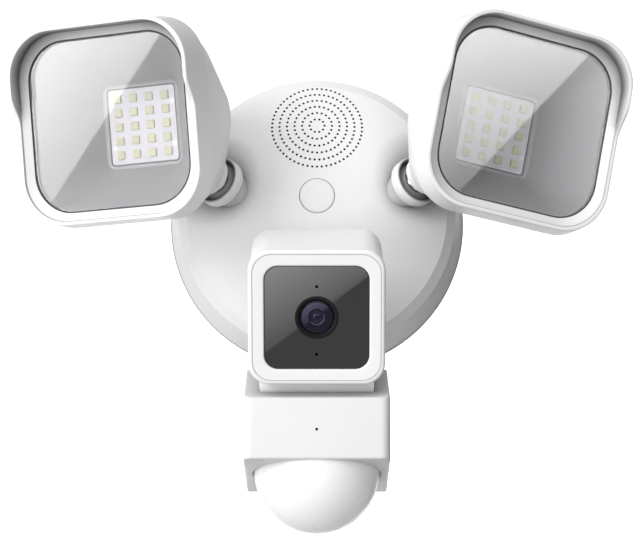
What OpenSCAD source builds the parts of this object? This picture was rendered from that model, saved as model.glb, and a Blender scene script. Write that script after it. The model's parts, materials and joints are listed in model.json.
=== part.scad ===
// Floodlight security camera for a wall: a round domed base on a junction-box bracket, two square LED
// lamps on ball joints, and a cube camera on a motion-sensor block that hangs from a third ball joint.
// Origin: centre of the wall face. +Z is up, the front looks along -Y, and X runs to the right as seen
// from the front.

/* [Base] */
// Diameter of the base at the wall
base_d = 126; // [125:0.5:127]
// Diameter of the base at the front edge of its skirt
base_front_d = 116; // [115:0.5:117]
// Distance from the wall to the front edge of the skirt
skirt_h = 28; // [27:0.5:29]
// Rise of the dome above the front edge
dome_rise = 15; // [14:0.5:16]
// How far the bevel round the front edge cuts into the corner between dome and skirt
edge_cut = 1.6; // [1:0.1:2]
// Wall thickness of the base cover
cover_wall = 2.2; // [1.8:0.1:2.6]
// Rings of sound holes over the siren
sound_rings = 6; // [4:1:6]
// Distance between rings of sound holes
sound_pitch = 3.15; // [3:0.05:3.2]
// Height of the sound holes' centre above the base centre
sound_z = 36; // [35:0.5:37]

/* [Bracket] */
// Distance between the junction-box screw slots
box_screw_gap = 88.9; // [88.9:0.1:89]
// Width of a junction-box screw slot, for a number 8 screw
box_slot_w = 4.8; // [4.6:0.1:5]
// Length of a junction-box screw slot
box_slot_l = 9; // [8:0.5:10]

/* [Lamps] */
// Width and height of the lamp glass
glass_w = 68.5; // [68:0.5:69]
// Corner radius of the lamp glass
glass_r = 16; // [15:0.5:17]
// Width and height of the lamp's front frame
frame_w = 79.5; // [79:0.5:80]
// How far the hood stands out in front of the frame
hood_reach = 6; // [5:0.5:7]
// Depth of the light board behind the glass
board_depth = 31.7; // [31:0.1:32]
// Turn of the left lamp to its own side, in degrees
left_yaw = -22.3; // [-24:0.1:-21]
// Turn of the right lamp to its own side, in degrees
right_yaw = 19; // [18:0.1:20]

/* [Ball joints] */
// Radius of a joint's ball
ball_r = 6; // [5.9:0.1:6.1]
// Outer radius of a joint's cup
cup_r = 10.4; // [10.2:0.1:10.6]
// Radius of a lamp's neck
neck_r = 8.3; // [8.1:0.1:8.4]

/* [Camera] */
// Width and height of the camera
camera_w = 52; // [51:0.5:53]
// Depth of the camera
camera_d = 48; // [46:0.5:49]
// Downward tilt of the camera, in degrees
camera_tilt = 21; // [20:0.5:22]
// Width and height of the dark window
window_w = 39.7; // [39:0.1:40]

/* [Motion sensor] */
// Width of the sensor block
block_w = 56; // [55:0.5:57]
// Radius of the dome lens
dome_r = 24.5; // [24:0.1:24.8]

/* [Hidden] */

$fn = 64;
fit = 0.05;           // running clearance of a ball, pin or stud
gap = 0.3;            // clearance between neighbours that do not bear on each other

// Base, measured off the wall
gasket_t = 2;
gasket_r = 61;
gasket_hole_r = 54;
plate_t = 2;
plate_top = gasket_t + plate_t;
plate_lip_h = 6;
base_r = base_d / 2;
front_r = base_front_d / 2;
dome_top = skirt_h + dome_rise;
dome_sphere_r = (front_r * front_r + dome_rise * dome_rise) / (2 * dome_rise);
dome_centre = dome_top - dome_sphere_r;
bracket_l = 102;
bracket_w = 22;
bracket_t = 1.8;
wire_hole_r = 11;
wire_bore_r = 7;
wire_z = -24;
plug_z = 5;
plug_r = 7.4;
bolt_r = 2.4;
screw_ring_r = 50.5;
cover_screw_r = 1.5;
seal_in_r = 58.6;
seal_w = 1.2;
access_hole_r = 7;
tube_in_r = 7.45;
tube_out_r = 9.2;
tube_floor_t = 3;
board_h0 = 9;         // height of the main board's underside off the wall
board_t = 1.6;
board_r = 46;
board_post_ring_r = 40;
board_post_angles = [75, 105, 200, 340];
cover_screw_angles = [30, 150, 235, 305];

// Sound holes
sound_hole_r = 0.5;

// Ball joints: places of the ball centres, and the directions that the cups face
lamp_ball = [40.5, -42.5, 10.8];
lamp_cup_dir = [0.55, -0.80, 0.25];
arm_ball = [0, -42, -38];
arm_cup_dir = [0, -0.52, -0.854];
cup_lip = 2.5;
cup_back = -15;
cup_floor = -8;
cup_floor_r = 6.2;
collar_back = -2.3;
cup_foot_r = 7.6;
cup_foot_front = -7.5;
boss_r = 12.5;
boss_back = -22;
nut_t = 4;
cup_cavity_r = 8.75;
cup_mouth_r = 9.4;
cup_mouth_z = -1;
cup_taper_z = -2;
liner_r = cup_cavity_r - fit;
liner_back = -6.5;
liner_back_r = 6.75;
liner_edge = -1;
liner_front = 1.8;
liner_front_r = 6.2;
stem_r = 5.5;
stem_end = -28;
shank_r = 3;
neck_start = 5.2;
neck_chamfer = 1;
stud_end = 15;
stud_r = 3.6;

// Lamps, in the frame of the glass: x right, y up, z forward, for the left lamp
lamp_pitch = [10.1, 6];
lamp_roll = [-0.6, 9.2];
ball_in_lamp = [23.1, -25.3, -51.4];
neck_dir = [-0.2, 0.4, 0.895];
root_at = neck_start + 3.5;
lens_t = 2.5;
frame_front = 3;
frame_back = -8;
frame_r = 19;
frame_flare = 1;
lens_ledge = -3;
ledge_open_w = 63;
ledge_open_r = 13.5;
housing_wall = 2.2;
housing_w = 77;
housing_r = 18;
hood_wall = 3;
board_w = 30.4;
board_h = 31;
chip_w = 3.4;
chip_pitch_x = 7.2;
chip_pitch_y = 5.8;
chip_columns = 4;
chip_rows = 5;
lamp_screw_r = 0.9;

// Camera, in the frame of its face: x right, y up, z forward
camera_at = [0, -120, -57.5];
camera_r = 8;
bezel_t = 4;
shell_inset = 0.5;
window_r = 5.4;
window_t = 1.2;
window_back = -1.9;
lens_hole_r = 8.3;
lens_glass_r = 6.25;
microphone_y = 11.9;
light_sensor_y = -14.3;
button_y = 8;
button_r = 3;
pin_r = 1.5;
pin_y = -28.6;
pin_z = -37;
knuckle_r = 2.4;
knuckle_w = 18;
foot_w = 44;
foot_top = -26.7;
foot_front = -7.5;
slot_floor = -34.5;
slot_back = -40.2;

// Sensor block: corners of its side outline in the YZ plane
block_front = -110;
front_top = [block_front, -86.5];
front_low = [block_front, -109.8];
rear_low = [-53, -118.5];
rear_top = [-68.8, -70.6];
block_wall = 2;
block_corner_r = 3.6;
underside_slope = atan2(front_low[1] - rear_low[1], rear_low[0] - front_low[0]);
dome_at = [0, -84.6, -113.68];
dome_sink = 1.2;
arm_r = 7;
arm_l = 60;
arm_dir = [0, -0.347, -0.938];
rear_cover_t = 3;
sensor_screw_r = 1.2;
sensor_screw_x = 22.8;
sensor_screw_z = -111;

// Helpers

// Turns children so that their +Z axis points along v
module aim(v) {
    rotate([0, acos(v[2] / norm(v)), atan2(v[1], v[0])]) children();
}

// Puts children, drawn with x right, y up and z off the wall, on the wall
module off_wall() {
    rotate([90, 0, 0]) children();
}

module rounded_square(w, r) {
    side = w - 2 * r;
    square([w, side], center = true);
    square([side, w], center = true);
    for (x = [-1, 1], y = [-1, 1])
        translate([x * side / 2, y * side / 2]) circle(r);
}

module rounded_block(w, r, low, high) {
    translate([0, 0, low]) linear_extrude(high - low) rounded_square(w, r);
}

module slot(l, w, h) {
    linear_extrude(h, center = true) {
        square([l - w, w], center = true);
        for (x = [-1, 1]) translate([x * (l - w) / 2, 0]) circle(w / 2);
    }
}

module tube(r_out, r_in, h) {
    difference() {
        cylinder(r = r_out, h = h);
        translate([0, 0, -1]) cylinder(r = r_in, h = h + 2);
    }
}

// A pan-head screw along +Z, its head below z = 0
module pan_screw(r, l) {
    cylinder(r = r, h = l);
    translate([0, 0, -1.1 * r]) cylinder(r = 1.9 * r, h = 1.1 * r);
}

// side is 1 for the left lamp and -1 for the right one
module at_lamp_ball(side) {
    translate([-side * lamp_ball[0], lamp_ball[1], lamp_ball[2]])
        aim([-side * lamp_cup_dir[0], lamp_cup_dir[1], lamp_cup_dir[2]]) children();
}

module at_arm_ball() {
    translate(arm_ball) aim(arm_cup_dir) children();
}

// Places a lamp, drawn in the frame of its glass, so that its ball sits in the base's cup
module at_lamp(side) {
    index = side > 0 ? 0 : 1;
    yaw = side > 0 ? left_yaw : right_yaw;
    translate([-side * lamp_ball[0], lamp_ball[1], lamp_ball[2]])
        rotate([0, 0, yaw])
            rotate([lamp_pitch[index], 0, 0])
                rotate([0, lamp_roll[index], 0])
                    rotate([90, 0, 0])
                        mirror([side > 0 ? 0 : 1, 0, 0])
                            translate(-ball_in_lamp) children();
}

module at_camera() {
    translate(camera_at) rotate([camera_tilt + 90, 0, 0]) children();
}

// Base

module wall_gasket() {
    color("dimgray") off_wall() tube(gasket_r, gasket_hole_r, gasket_t);
}

module mounting_bracket() {
    color("silver") off_wall() translate([0, plug_z, 0])
        difference() {
            translate([-bracket_l / 2, -bracket_w / 2, 0]) cube([bracket_l, bracket_w, bracket_t]);
            for (x = [-1, 1])
                translate([x * box_screw_gap / 2, 0, 0]) slot(box_slot_l, box_slot_w, 6 * bracket_t);
            translate([0, 0, -1]) cylinder(r = bolt_r + fit, h = 4 * bracket_t);
        }
}

module cover_screw_places() {
    for (a = cover_screw_angles) rotate([0, 0, a]) translate([screw_ring_r, 0, 0]) children();
}

module back_plate() {
    color("whitesmoke") off_wall()
        difference() {
            union() {
                translate([0, 0, gasket_t]) cylinder(r = base_r, h = plate_t);
                translate([0, 0, plate_top - 1]) tube(seal_in_r - gap, seal_in_r - 2, plate_lip_h);
                for (a = board_post_angles)
                    rotate([0, 0, a]) translate([board_post_ring_r, 0, plate_top - 1])
                        cylinder(r = 3, h = board_h0 - plate_top + 1);
            }
            for (x = [-1, 1])
                translate([x * box_screw_gap / 2, plug_z, 0]) cylinder(r = access_hole_r, h = 3 * plate_t);
            translate([0, plug_z, 0]) cylinder(r = bolt_r + gap, h = 3 * plate_t);
            translate([0, wire_z, 0]) cylinder(r = wire_hole_r, h = 3 * plate_t);
            cover_screw_places() cylinder(r = cover_screw_r + gap, h = 3 * plate_t);
        }
}

// A grommet with a groove for the edge of the back plate
module wire_grommet() {
    lip_t = 1.3;
    color("black") off_wall() translate([0, wire_z, gasket_t])
        difference() {
            union() {
                translate([0, 0, -lip_t - fit]) cylinder(r = wire_hole_r + 2, h = lip_t);
                translate([0, 0, -0.5]) cylinder(r = wire_hole_r - fit, h = plate_t + 1);
                translate([0, 0, plate_t + fit]) cylinder(r = wire_hole_r + 2, h = lip_t);
            }
            translate([0, 0, -3]) cylinder(r = wire_bore_r, h = plate_t + 6);
        }
}

module cover_seal() {
    color("dimgray") off_wall() translate([0, 0, plate_top]) tube(seal_in_r + seal_w, seal_in_r, 1.6);
}

// The solid inside the dome and the skirt, drawn in from its outer face by inset
module base_solid(inset) {
    bevel_r = front_r + skirt_h - edge_cut - sqrt(2) * inset;
    intersection() {
        union() {
            translate([0, 0, plate_top])
                cylinder(r1 = base_r - 0.4 - inset, r2 = front_r - inset, h = skirt_h - plate_top);
            translate([0, 0, skirt_h - 0.5]) cylinder(r = front_r - inset, h = dome_rise + 1);
        }
        translate([0, 0, dome_centre]) sphere(r = dome_sphere_r - inset);
        cylinder(r1 = bevel_r, r2 = bevel_r - 50, h = 50);
    }
}

// Children drawn around the dome's centre, with +Z out through the middle of the sound holes
module at_sound() {
    translate([0, 0, dome_centre]) rotate([-asin(sound_z / dome_sphere_r), 0, 0]) children();
}

module base_cover() {
    color("white") difference() {
        off_wall() difference() {
            union() {
                difference() {
                    base_solid(0);
                    base_solid(cover_wall);
                    translate([0, 0, plate_top - 1]) cylinder(r = base_r - 0.4 - cover_wall, h = 1.01);
                }
                intersection() {
                    base_solid(0);
                    union() {
                        translate([0, plug_z, plate_top + 0.1]) cylinder(r = tube_out_r, h = dome_top);
                        translate([0, 0, plate_top + 0.1]) cover_screw_places()
                            cylinder(r = 3.5, h = dome_top);
                        rotate([-90, 0, 0]) joint_places() translate([0, 0, boss_back])
                            cylinder(r = boss_r, h = cup_back - boss_back + 6);
                    }
                }
            }
            translate([0, plug_z, plate_top + tube_floor_t]) cylinder(r = tube_in_r, h = dome_top);
            translate([0, plug_z, plate_top - 1]) cylinder(r = bolt_r + gap, h = dome_top);
            translate([0, 0, plate_top - 1]) cover_screw_places() cylinder(r = cover_screw_r + 0.02, h = 12);
            at_sound() for (ring = [1 : sound_rings], n = [1 : 10 * ring])
                rotate([0, 0, 36 * n / ring])
                    translate([ring * sound_pitch, 0, dome_sphere_r - 2 * cover_wall])
                        cylinder(r = sound_hole_r, h = 3 * cover_wall);
        }
        joint_places() cup_outside(fit, 20);
        joint_places() translate([0, 0, boss_back - 5]) cylinder(r = stem_r + fit, h = 20);
    }
}

// Repeats children at the three ball joints, with +Z out of the cup
module joint_places() {
    for (side = [-1, 1]) at_lamp_ball(side) children();
    at_arm_ball() children();
}

module cover_screws() {
    color("silver") off_wall() translate([0, 0, gasket_t - fit]) cover_screw_places()
        pan_screw(cover_screw_r, 9);
}

module centre_bolt() {
    color("silver") off_wall() translate([0, plug_z, 0]) {
        cylinder(r = bolt_r, h = plate_top + tube_floor_t + 1);
        translate([0, 0, plate_top + tube_floor_t]) difference() {
            cylinder(r = 4.5, h = 4);
            translate([0, 0, 2]) cylinder(r = 2.2, h = 3, $fn = 6);
        }
    }
}

module centre_plug() {
    color("white") off_wall() intersection() {
        base_solid(0);
        translate([0, plug_z, dome_top - 6]) union() {
            cylinder(r = plug_r, h = 8);
            translate([0, 0, -6]) cylinder(r = plug_r - 1.6, h = 7);
        }
    }
}

module siren_speaker() {
    color("darkslategray") off_wall() at_sound() translate([0, 0, dome_sphere_r]) {
        translate([0, 0, -8.4]) tube(20, 16, 3);
        difference() {
            translate([0, 0, -15]) cylinder(r1 = 11.5, r2 = 18, h = 7);
            translate([0, 0, -12.5]) cylinder(r1 = 5, r2 = 16, h = 6);
        }
        translate([0, 0, -21]) cylinder(r = 11.5, h = 6.5);
        translate([0, 0, -13]) sphere(r = 5);
    }
}

module speaker_gasket() {
    color("dimgray") off_wall() at_sound() translate([0, 0, dome_sphere_r - 5.3]) tube(20, 17.5, 1.1);
}

module main_board() {
    color("green") off_wall() translate([0, 0, board_h0]) difference() {
        cylinder(r = board_r, h = board_t);
        translate([0, plug_z, -1]) cylinder(r = tube_out_r + 1, h = 4);
        translate([0, wire_z, -1]) cylinder(r = wire_hole_r + 3, h = 4);
        for (x = [-1, 1]) translate([x * box_screw_gap / 2, plug_z, -1]) cylinder(r = access_hole_r, h = 4);
    }
}

module power_module() {
    color("black") off_wall() translate([-18, -45.5, board_h0 + board_t]) cube([36, 8, 14]);
    color("black") off_wall() for (x = [-1, 1])
        translate([x * 24 - 7, -34, board_h0 + board_t]) cube([14, 16, 12]);
}

module terminal_block() {
    color("ivory") off_wall() translate([19, -14, board_h0 + board_t]) difference() {
        cube([18, 9, 9]);
        for (n = [0 : 2]) translate([3.5 + 5.5 * n, 4.5, 3]) cylinder(r = 1.8, h = 7);
    }
}

// A cup's collar and the foot that it narrows to, larger by clearance c
module cup_outside(c, top) {
    translate([0, 0, collar_back]) cylinder(r = cup_r + c, h = top - collar_back);
    translate([0, 0, cup_foot_front])
        cylinder(r1 = cup_foot_r + c, r2 = cup_r - 0.6 + c, h = collar_back - cup_foot_front);
    translate([0, 0, cup_back]) cylinder(r = cup_foot_r + c, h = cup_foot_front - cup_back);
}

module socket_cups() {
    color("white") joint_places() {
        difference() {
            union() {
                cup_outside(0, cup_lip);
                translate([0, 0, stem_end]) cylinder(r = stem_r, h = cup_back - stem_end + 1);
            }
            translate([0, 0, cup_floor])
                cylinder(r1 = cup_floor_r, r2 = cup_cavity_r, h = cup_taper_z - cup_floor);
            translate([0, 0, cup_taper_z]) cylinder(r = cup_cavity_r, h = 20);
            translate([0, 0, cup_mouth_z])
                cylinder(r1 = cup_cavity_r, r2 = cup_mouth_r, h = cup_lip - cup_mouth_z + 0.01);
            translate([0, 0, stem_end - 1]) cylinder(r = 2.5, h = 40);
        }
    }
}

module socket_nuts() {
    color("silver") joint_places() translate([0, 0, boss_back - nut_t - 0.1]) difference() {
        cylinder(r = 9, h = nut_t, $fn = 6);
        translate([0, 0, -1]) cylinder(r = stem_r + fit, h = nut_t + 2);
    }
}

// Ball joints

module liner() {
    color("dimgray") difference() {
        union() {
            translate([0, 0, liner_back])
                cylinder(r1 = liner_back_r, r2 = liner_r, h = cup_taper_z - liner_back);
            translate([0, 0, cup_taper_z]) cylinder(r = liner_r, h = liner_edge - cup_taper_z);
            translate([0, 0, liner_edge])
                cylinder(r1 = liner_r, r2 = liner_front_r, h = liner_front - liner_edge);
        }
        sphere(r = ball_r + fit);
        translate([0, 0, liner_back - 1]) cylinder(r = 4, h = 10);
    }
}

// A ball with a shank along +Z that screws into the neck of what it carries
module ball_stud() {
    color("silver") {
        sphere(r = ball_r);
        cylinder(r = shank_r, h = neck_start + 1);
        translate([0, 0, neck_start]) cylinder(r = stud_r, h = stud_end - neck_start);
    }
}

// Lamps, drawn in the frame of the glass

module at_neck() {
    translate(ball_in_lamp) aim(neck_dir) children();
}

// The rounded body behind the frame: it narrows to the back, and to the corner where the neck comes in
module lamp_body(inset) {
    front = inset > 0 ? frame_back + 1 : frame_back;
    hull() {
        rounded_block(housing_w - 2 * inset, housing_r - inset, -12, front, $fn = 32);
        rounded_block(74 - 2 * inset, 19 - inset, -22.5, -22, $fn = 32);
        translate([4, -2, inset - 38.5]) cylinder(r = 28.5 - inset, h = 1, $fn = 32);
        translate([16, 2, inset - 45]) cylinder(r = 18 - inset, h = 1, $fn = 32);
        at_neck() translate([0, 0, root_at + inset]) cylinder(r = neck_r + 0.7 - inset, h = 1, $fn = 32);
    }
}

// The round neck that a ball stud screws into
module neck(r, l) {
    cylinder(r1 = r - neck_chamfer, r2 = r, h = neck_chamfer);
    translate([0, 0, neck_chamfer]) cylinder(r = r, h = l - neck_chamfer);
}

module lamp_housing() {
    color("white") difference() {
        union() {
            difference() {
                lamp_body(0);
                lamp_body(housing_wall);
            }
            at_neck() translate([0, 0, neck_start]) neck(neck_r, 11);
        }
        at_neck() cylinder(r = stud_r + fit, h = 60);
    }
}

// The front frame with the hood that shades its top and upper sides
module lamp_hood() {
    color("white") {
        difference() {
            hull() {
                rounded_block(frame_w + 2 * frame_flare, frame_r + frame_flare, frame_back, frame_back + 0.4);
                rounded_block(frame_w, frame_r, frame_front - 0.4, frame_front);
            }
            rounded_block(glass_w + 0.6, glass_r + 0.3, lens_ledge, frame_front + 1);
            rounded_block(ledge_open_w, ledge_open_r, frame_back - 1, frame_front);
        }
        intersection() {
            difference() {
                rounded_block(frame_w, frame_r, frame_front - 0.2, frame_front + hood_reach);
                rounded_block(frame_w - 2 * hood_wall, frame_r - hood_wall, frame_front - 2, 20);
            }
            rotate([90, 0, 90]) linear_extrude(2 * frame_w, center = true)
                polygon([[50, -1], [2, -1], [8, frame_front + 2], [15, frame_front + hood_reach + 1],
                    [50, frame_front + hood_reach + 1]]);
        }
    }
}

module lens_seal() {
    color("gray") difference() {
        rounded_block(glass_w, glass_r, lens_ledge, -lens_t);
        rounded_block(ledge_open_w, ledge_open_r, lens_ledge - 1, 0);
    }
}

module lamp_glass() {
    color("lightgray", 0.4) rounded_block(glass_w, glass_r, -lens_t, 0);
}

module reflector() {
    color("white") difference() {
        hull() {
            rounded_block(61.5, 13, -4.2, -3.6, $fn = 32);
            rounded_block(40, 6, -board_depth, 0.6 - board_depth, $fn = 32);
        }
        hull() {
            rounded_block(60, 12.3, -4, -3, $fn = 32);
            rounded_block(35, 4, -board_depth - 1, -board_depth, $fn = 32);
        }
    }
}

module led_board() {
    color("white") difference() {
        translate([-board_w / 2, -board_h / 2, -board_depth - 1.7]) cube([board_w, board_h, 1.6]);
        lamp_screw_places() translate([0, 0, -board_depth - 3]) cylinder(r = lamp_screw_r + 0.1, h = 4);
    }
}

module led_chips() {
    color("khaki")
        for (column = [0 : chip_columns - 1], row = [0 : chip_rows - 1])
            translate([(column - (chip_columns - 1) / 2) * chip_pitch_x - chip_w / 2,
                (row - (chip_rows - 1) / 2) * chip_pitch_y - chip_w / 2, -board_depth - 0.1])
                cube([chip_w, chip_w, 0.7]);
}

module heat_spreader() {
    color("silver") difference() {
        translate([-15, -13.5, -board_depth - 4.5]) cube([30, 27, 2.8]);
        lamp_screw_places() translate([0, 0, -board_depth - 6]) cylinder(r = lamp_screw_r + 0.02, h = 6);
    }
}

module lamp_screw_places() {
    for (x = [-1, 1], y = [-1, 1]) translate([x * 13.8, y * 1.5 * chip_pitch_y, 0]) children();
}

module lamp_screws() {
    color("silver") lamp_screw_places() translate([0, 0, -board_depth - 0.1]) mirror([0, 0, 1])
        pan_screw(lamp_screw_r, 4);
}

// Camera, drawn in the frame of its face

// The axis that the camera tilts about, along +Z
module at_pin() {
    translate([0, pin_y, pin_z]) rotate([0, 90, 0]) children();
}

module camera_shell() {
    shell_w = camera_w - 2 * shell_inset;
    color("white") difference() {
        union() {
            difference() {
                rounded_block(shell_w, camera_r - shell_inset, -camera_d, -bezel_t);
                rounded_block(shell_w - 3.6, camera_r - 2.3, 1.8 - camera_d, 1);
            }
            translate([-knuckle_w / 2, pin_y, pin_z - knuckle_r])
                cube([knuckle_w, -shell_w / 2 + 1 - pin_y, 2 * knuckle_r]);
            at_pin() cylinder(r = knuckle_r, h = knuckle_w, center = true);
        }
        at_pin() cylinder(r = pin_r + fit, h = 60, center = true);
        translate([0, button_y, -camera_d - 1]) cylinder(r = button_r + 0.15, h = 4);
    }
}

module camera_bezel() {
    color("white") difference() {
        rounded_block(camera_w, camera_r, -bezel_t, 0);
        rounded_block(window_w + 0.4, window_r + 0.2, window_back, 1);
        rounded_block(window_w - 3, window_r - 1.5, -bezel_t - 1, 1);
    }
}

module camera_window() {
    color("black") difference() {
        rounded_block(window_w, window_r, window_back, window_back + window_t);
        translate([0, 0, -5]) cylinder(r = lens_hole_r, h = 10);
        translate([0, microphone_y, -5]) cylinder(r = 0.6, h = 10);
        translate([0, light_sensor_y, -5]) cylinder(r = 0.6, h = 10);
    }
}

module lens_ring() {
    color("black") rotate_extrude()
        polygon([[lens_glass_r + 0.1, -3], [lens_hole_r - 0.1, -3], [lens_hole_r - 0.1, -0.6],
            [lens_hole_r - 0.8, -0.6], [lens_glass_r + 0.1, -1.9]]);
}

module lens_barrel() {
    color("black") {
        translate([0, 0, -17.9]) cylinder(r = 7, h = 9);
        translate([0, 0, -9]) cylinder(r = lens_glass_r, h = 5.4);
    }
}

module lens_glass() {
    color("midnightblue") intersection() {
        translate([0, 0, -15.4]) sphere(r = 14);
        translate([0, 0, -3.5]) cylinder(r = lens_glass_r, h = 5);
    }
}

module image_board() {
    color("green") difference() {
        translate([-21, -21, -19.6]) cube([42, 42, 1.6]);
        translate([0, -14, -21]) cylinder(r = 8.4, h = 4);
    }
}

module infrared_leds() {
    color("dimgray") for (x = [-1, 1], y = [-1, 1])
        translate([x * 13.5, y * 10, -18]) {
            cylinder(r = 1.5, h = 14);
            translate([0, 0, 14]) sphere(r = 1.5);
        }
}

module camera_heat_sink() {
    color("silver") {
        translate([-17, 0, -27]) cube([34, 20, 2]);
        for (n = [0 : 5]) translate([-17 + n * 6.4, 0, -32]) cube([2, 20, 5.5]);
    }
}

module camera_speaker() {
    color("darkslategray") translate([0, -14, -34]) {
        cylinder(r = 8, h = 5);
        translate([0, 0, 5]) tube(8, 6, 1);
    }
}

module setup_button() {
    color("whitesmoke") translate([0, button_y, -camera_d - 0.9]) {
        cylinder(r = button_r, h = 5);
        translate([0, 0, 3.5]) cylinder(r = button_r + 1, h = 1.5);
    }
}

// The foot folds out of the camera's underside and drops into the sensor block
module camera_foot() {
    color("white") difference() {
        union() {
            translate([-foot_w / 2, slot_floor + 0.2, pin_z])
                cube([foot_w, foot_top - slot_floor - 0.2, foot_front - pin_z]);
            at_pin() cylinder(r = knuckle_r - 0.5, h = foot_w, center = true);
            translate([-foot_w / 2, slot_floor + 0.2, pin_z - knuckle_r + 0.5])
                cube([foot_w, pin_y - slot_floor, 2 * knuckle_r - 1]);
        }
        translate([-knuckle_w / 2 - gap, slot_floor, pin_z - 8]) cube([knuckle_w + 2 * gap, 20, 12]);
        at_pin() cylinder(r = pin_r, h = 60, center = true);
    }
}

module tilt_pin() {
    color("silver") at_pin() cylinder(r = pin_r, h = foot_w - 2, center = true);
}

// Sensor block, drawn in its place

// A prism along X with the outline points, each [y, z]
module side_prism(points, w) {
    rotate([90, 0, 90]) linear_extrude(w, center = true) polygon(points);
}

// Heights of the block's top and underside, y being the place along its depth
top_rise = (rear_top[1] - front_top[1]) / (rear_top[0] - block_front);
low_rise = (rear_low[1] - front_low[1]) / (rear_low[0] - block_front);
function top_z(y) = front_top[1] + (y - block_front) * top_rise;
function low_z(y) = front_low[1] + (y - block_front) * low_rise;

module block_solid() {
    intersection() {
        side_prism([front_top, front_low, rear_low, rear_top], block_w);
        translate([0, (block_front + rear_low[0]) / 2, -140]) linear_extrude(90)
            block_plan(block_w, rear_low[0] - block_front + 2 * block_corner_r);
    }
}

// Rounded at the front corners only: the rear ones lie behind the block
module block_plan(w, l) {
    r = block_corner_r;
    translate([0, block_corner_r]) {
        square([w - 2 * r, l], center = true);
        square([w, l - 2 * r], center = true);
        for (x = [-1, 1]) translate([x * (w / 2 - r), -l / 2 + r]) circle(r);
    }
}

// The room inside the block, drawn in by clearance c, open to the rear
module block_room(c) {
    w = block_wall + c;
    y0 = block_front + w;
    y1 = rear_low[0] + 5;
    side_prism([[y0, top_z(y0) - w], [y0, low_z(y0) + w], [y1, low_z(y1) + w], [y1, top_z(y1) - w]],
        block_w - 2 * w);
}

module at_dome() {
    translate(dome_at) rotate([180 - underside_slope, 0, 0]) children();
}

// The pocket under the top of the block that takes the camera's foot, drawn larger by clearance c
module foot_pocket(c) {
    at_camera() translate([-foot_w / 2 - 2.3 - c, slot_floor - 2 - c, slot_back - 1 - c])
        cube([foot_w + 4.6 + 2 * c, 10, foot_front - slot_back + 3.5 + c]);
}

module sensor_screw_places() {
    for (x = [-1, 1]) translate([x * sensor_screw_x, rear_low[0] - 4.6, sensor_screw_z])
        rotate([90, 0, 0]) children();
}

module sensor_housing() {
    color("white") difference() {
        union() {
            difference() {
                block_solid();
                block_room(0);
            }
            intersection() {
                block_solid();
                union() {
                    foot_pocket(0);
                    sensor_screw_places() translate([0, 0, 2.5]) cylinder(r = 3, h = 9);
                }
            }
        }
        sensor_screw_places() cylinder(r = sensor_screw_r + 0.02, h = 10);
        at_camera() translate([-foot_w / 2 - gap, slot_floor, slot_back])
            cube([foot_w + 2 * gap, 20, foot_front + gap - slot_back]);
        at_dome() translate([0, 0, -5]) cylinder(r = dome_r + 0.1, h = 10);
        translate([0, block_front + 3, -98.6]) rotate([90, 0, 0]) cylinder(r = 0.6, h = 6);
    }
}

module sensor_arm() {
    color("white") difference() {
        union() {
            difference() {
                intersection() {
                    block_solid();
                    block_room(0.1);
                    side_prism([rear_top, rear_low, rear_low - [rear_cover_t, 0],
                        rear_top - [rear_cover_t, 0]], block_w);
                }
                foot_pocket(0.1);
                sensor_screw_places() translate([0, 0, -8]) cylinder(r = 2.6, h = 8.02);
                sensor_screw_places() cylinder(r = sensor_screw_r + gap, h = 8);
            }
            translate(arm_ball) aim(arm_dir) translate([0, 0, neck_start]) neck(arm_r, arm_l - neck_start);
        }
        translate(arm_ball) aim(arm_dir) cylinder(r = stud_r + fit, h = 30);
    }
}

module dome_lens() {
    color("white") at_dome() difference() {
        union() {
            intersection() {
                translate([0, 0, -dome_sink]) sphere(r = dome_r);
                translate([0, 0, -block_wall]) cylinder(r = 40, h = 60);
            }
            intersection() {
                translate([0, 0, -block_wall - 1.2]) cylinder(r = dome_r + 0.8, h = 1.2);
                translate([-30, -40, -10]) cube([60, 63, 20]);
            }
        }
        translate([0, 0, -dome_sink]) sphere(r = dome_r - 1.2);
    }
}

module sensor_board() {
    color("green") at_dome() translate([-20, -15, -7.6]) cube([40, 32, 1.6]);
}

module heat_detectors() {
    color("silver") at_dome() for (a = [-45, 0, 45])
        rotate([0, 0, a]) translate([0, 9, -6]) cylinder(r = 3.2, h = 4);
}

module sensor_screws() {
    color("silver") sensor_screw_places() pan_screw(sensor_screw_r, 7);
}

wall_gasket();
mounting_bracket();
back_plate();
wire_grommet();
cover_seal();
base_cover();
cover_screws();
centre_bolt();
centre_plug();
siren_speaker();
speaker_gasket();
main_board();
power_module();
terminal_block();
socket_cups();
socket_nuts();
at_lamp_ball(1) liner();  // left_liner
at_lamp(1) at_neck() ball_stud();  // left_ball_stud
at_lamp(1) lamp_housing();  // left_lamp_housing
at_lamp(1) lamp_hood();  // left_lamp_hood
at_lamp(1) lens_seal();  // left_lens_seal
at_lamp(1) lamp_glass();  // left_lamp_glass
at_lamp(1) reflector();  // left_reflector
at_lamp(1) led_board();  // left_led_board
at_lamp(1) led_chips();  // left_led_chips
at_lamp(1) heat_spreader();  // left_heat_spreader
at_lamp(1) lamp_screws();  // left_lamp_screws
at_lamp_ball(-1) liner();  // right_liner
at_lamp(-1) at_neck() ball_stud();  // right_ball_stud
at_lamp(-1) lamp_housing();  // right_lamp_housing
at_lamp(-1) lamp_hood();  // right_lamp_hood
at_lamp(-1) lens_seal();  // right_lens_seal
at_lamp(-1) lamp_glass();  // right_lamp_glass
at_lamp(-1) reflector();  // right_reflector
at_lamp(-1) led_board();  // right_led_board
at_lamp(-1) led_chips();  // right_led_chips
at_lamp(-1) heat_spreader();  // right_heat_spreader
at_lamp(-1) lamp_screws();  // right_lamp_screws
at_camera() camera_shell();
at_camera() camera_bezel();
at_camera() camera_window();
at_camera() lens_ring();
at_camera() lens_barrel();
at_camera() lens_glass();
at_camera() image_board();
at_camera() infrared_leds();
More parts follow.
